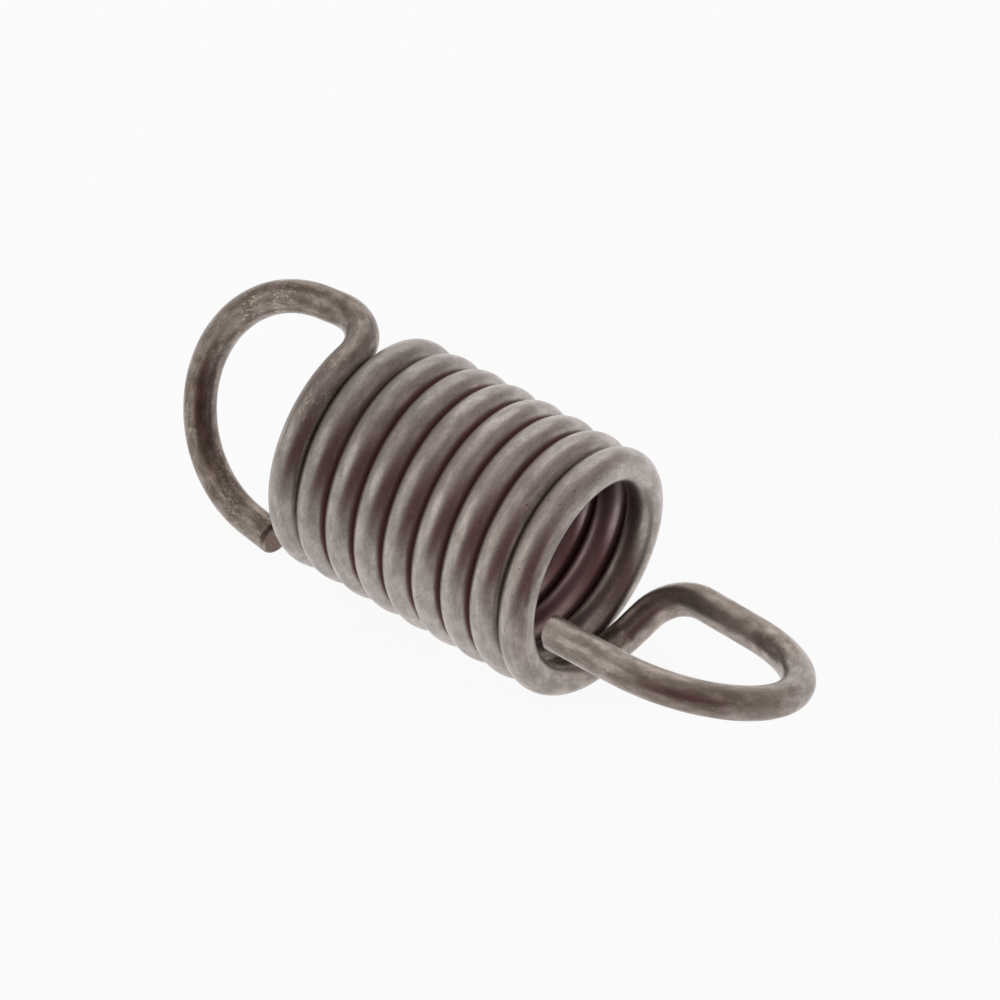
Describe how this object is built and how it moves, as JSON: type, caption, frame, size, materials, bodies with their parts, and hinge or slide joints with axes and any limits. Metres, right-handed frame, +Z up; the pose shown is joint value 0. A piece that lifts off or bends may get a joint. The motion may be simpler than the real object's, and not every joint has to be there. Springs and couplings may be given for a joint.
{
  "type": "extension spring",
  "caption": "Close-wound extension spring of round wire with a round loop at each end, the two loops at right angles to each other.",
  "frame": {"origin": "middle of the bounding box in X and Y, at the lowest point, where the spring lies on its side", "axes": "+X along the coil from the upright loop to the raised loop, +Z up as it lies"},
  "size_m": [0.0448, 0.0152, 0.0149],
  "materials": {
    "spring_steel": "drawn, satin, slightly mottled"
  },
  "bodies": {
    "root": {"spring_wire": "spring_steel"}
  },
  "joints": []
}
